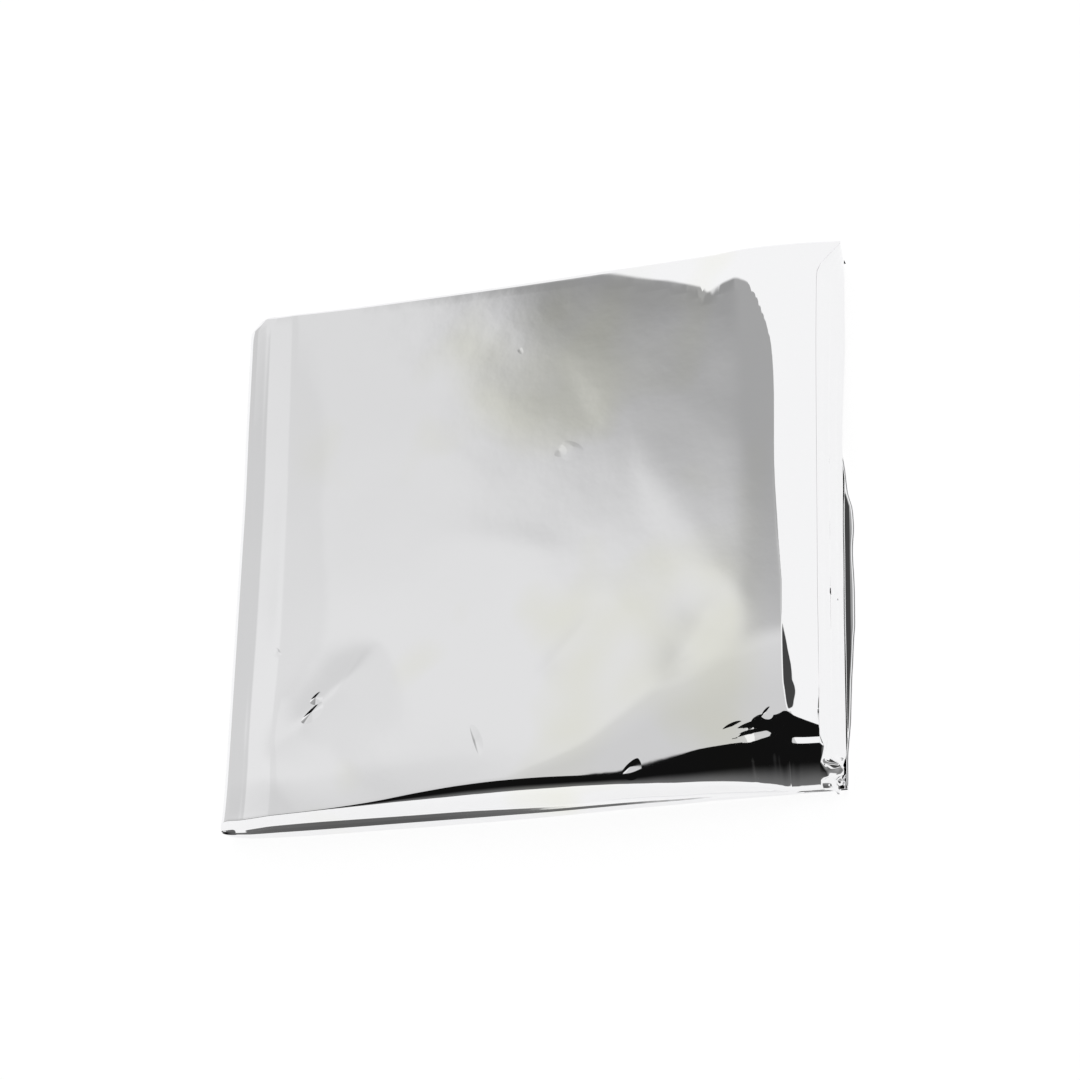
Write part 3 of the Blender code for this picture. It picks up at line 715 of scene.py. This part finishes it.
world = bpy.data.worlds.new("studio")
scene.world = world
world.use_nodes = True
tree = world.node_tree
tree.nodes.clear()
direction = add(tree, "ShaderNodeTexCoord").outputs["Generated"]
axes = add(tree, "ShaderNodeSeparateXYZ", Vector=direction)
to_x, to_y, to_z = axes.outputs

# How bright each part of the studio is, and how the light fades between them
WHITE, SWEEP, SHADED_SWEEP, BLACK, TABLE_GLOW, DARK_CARD = 1.02, 0.84, 0.44, 0.006, 0.16, 0.06
HALF_SHADE = 0.8
SMOOTH = {"interpolation_type": "SMOOTHSTEP"}

# The grey sweep behind: its upper right lies in the shade, and its right edge half in the shade. Each edge
# is a direction, from and to.
diagonal = add(tree, "ShaderNodeVectorMath", {"operation": "DOT_PRODUCT"}, i0=direction,
               i1=(0.6, 1.0, 0.0)).outputs[1]
shaded = 1.0
for towards, low, high in ((diagonal, 0.12, 0.29), (to_x, -0.41, -0.365)):
    part = add(tree, "ShaderNodeMapRange", SMOOTH, Value=towards, From_Min=low, From_Max=high, To_Min=0.0,
               To_Max=1.0).outputs[0]
    shaded = add(tree, "ShaderNodeMath", {"operation": "MULTIPLY"}, i0=part, i1=shaded).outputs[0]
half = HALF_SHADE
for towards, low, high in ((to_x, -0.38, -0.22), (to_y, 0.24, 0.36)):
    part = add(tree, "ShaderNodeMapRange", SMOOTH, Value=towards, From_Min=low, From_Max=high, To_Min=0.0,
               To_Max=1.0).outputs[0]
    half = add(tree, "ShaderNodeMath", {"operation": "MULTIPLY"}, i0=part, i1=half).outputs[0]
part = add(tree, "ShaderNodeMath", {"operation": "MAXIMUM"}, i0=shaded, i1=half).outputs[0]
sweep = add(tree, "ShaderNodeMix", i0=part, i2=SWEEP, i3=SHADED_SWEEP).outputs[0]
# Far back in the shade it is darker still: direction, from, to, how much
for towards, low, high, most in ((to_y, 0.44, 0.50, 0.2), (to_x, -0.28, -0.34, 1.0)):
    part = add(tree, "ShaderNodeMapRange", SMOOTH, Value=towards, From_Min=low, From_Max=high, To_Min=0.0,
               To_Max=most).outputs[0]
    shaded = add(tree, "ShaderNodeMath", {"operation": "MULTIPLY"}, i0=shaded, i1=part).outputs[0]
sweep = add(tree, "ShaderNodeMix", i0=shaded, i2=sweep, i3=0.0).outputs[0]
# And its brightness changes a little across it: direction, from, to, first share, last share
for towards, low, high, first, last in (
    (to_y, 0.22, 0.32, 0.88, 1.0), (to_y, 0.00, 0.30, 0.92, 1.0), (to_y, 0.34, 0.45, 1.0, 0.93),
    (to_x, -0.475, -0.445, 0.955, 1.0), (to_x, -0.60, -0.55, 1.09, 1.0), (to_x, -0.72, -0.66, 0.82, 1.0),
):
    part = add(tree, "ShaderNodeMapRange", SMOOTH, Value=towards, From_Min=low, From_Max=high, To_Min=first,
               To_Max=last).outputs[0]
    sweep = add(tree, "ShaderNodeMath", {"operation": "MULTIPLY"}, i0=sweep, i1=part).outputs[0]

# The white all round, and how far the sweep covers it: direction, from, to, first share, last share
rightward = add(tree, "ShaderNodeVectorMath", {"operation": "DOT_PRODUCT"}, i0=direction,
                i1=(1.0, 0.2, 0.0)).outputs[1]
inside = 1.0
for towards, low, high, first, last in (
    (rightward, -0.075, -0.055, 1, 0), (to_y, 0.58, 0.64, 1, 0), (to_z, 0.0, 0.08, 0, 1),
):
    edge = add(tree, "ShaderNodeMapRange", SMOOTH, Value=towards, From_Min=low, From_Max=high, To_Min=first,
               To_Max=last).outputs[0]
    inside = add(tree, "ShaderNodeMath", {"operation": "MULTIPLY"}, i0=inside, i1=edge).outputs[0]
level = add(tree, "ShaderNodeMix", i0=inside, i2=WHITE, i3=sweep).outputs[0]

# The black flag at the front. It fades to grey low down and at its sides, and to white close to the table.
glow = add(tree, "ShaderNodeMapRange", SMOOTH, Value=to_z, From_Min=0.02, From_Max=0.30, To_Min=TABLE_GLOW,
           To_Max=BLACK).outputs[0]
near_table = add(tree, "ShaderNodeMapRange", SMOOTH, Value=to_z, From_Min=0.0, From_Max=0.03, To_Min=0.0,
                 To_Max=1.0).outputs[0]
front_right = add(tree, "ShaderNodeVectorMath", {"operation": "DOT_PRODUCT"}, i0=direction,
                  i1=(1.0, -0.5, 0.0)).outputs[1]
for towards, start, end, most in ((front_right, 0.58, 1.10, 0.28), (to_x, -0.60, -0.95, 0.5)):
    aside = add(tree, "ShaderNodeMapRange", Value=towards, From_Min=start, From_Max=end, To_Min=0.0,
                To_Max=most).outputs[0]
    glow = add(tree, "ShaderNodeMath", {"operation": "ADD"}, i0=aside, i1=glow).outputs[0]
flag = add(tree, "ShaderNodeMix", i0=near_table, i2=WHITE, i3=glow).outputs[0]
inside = add(tree, "ShaderNodeMapRange", SMOOTH, Value=to_y, From_Min=-0.19, From_Max=-0.17, To_Min=1.0,
             To_Max=0.0).outputs[0]
level = add(tree, "ShaderNodeMix", i0=inside, i2=level, i3=flag).outputs[0]

# The dark card to the right: direction, from, to, first share, last share
inside = 1.0
for towards, low, high, first, last in (
    (to_x, 0.40, 0.64, 0, 1), (to_y, 0.02, 0.10, 0, 1), (to_y, 0.80, 0.92, 1, 0), (to_z, 0.04, 0.12, 0, 1),
    (to_z, 0.80, 0.86, 1, 0),
):
    edge = add(tree, "ShaderNodeMapRange", SMOOTH, Value=towards, From_Min=low, From_Max=high, To_Min=first,
               To_Max=last).outputs[0]
    inside = add(tree, "ShaderNodeMath", {"operation": "MULTIPLY"}, i0=inside, i1=edge).outputs[0]
level = add(tree, "ShaderNodeMix", i0=inside, i2=level, i3=DARK_CARD).outputs[0]
background = add(tree, "ShaderNodeBackground", Strength=level)
background.inputs["Color"].default_value = (1, 1, 1, 1)
output = add(tree, "ShaderNodeOutputWorld")
tree.links.new(background.outputs[0], output.inputs[0])

# ---------------------------------------------------------------------------------------------------
# The view: a long lens looks down on the packet from its front right. The camera is turned about its own
# axis, so that the packet's back edge rises gently to the right.

AIM = Vector((0.00201, -0.00085, 0.008))
AZIMUTH, ELEVATION, DISTANCE, ROLL_TURN = 33.83, 61.99, 0.8318, -36.03
azimuth, elevation = math.radians(AZIMUTH), math.radians(ELEVATION)
away = Vector((math.cos(elevation) * math.sin(azimuth), -math.cos(elevation) * math.cos(azimuth),
               math.sin(elevation)))
camera_data = bpy.data.cameras.new("camera")
camera_data.lens = 133.33
camera_data.sensor_width = 36
camera_data.clip_end = 20
camera = bpy.data.objects.new("camera", camera_data)
scene.collection.objects.link(camera)
camera.location = AIM + away * DISTANCE
turn = (-away).to_track_quat("-Z", "Y") @ Quaternion((0, 0, 1), math.radians(ROLL_TURN))
camera.rotation_mode = "QUATERNION"
camera.rotation_quaternion = turn
scene.camera = camera
scene.view_settings.view_transform = "Standard"
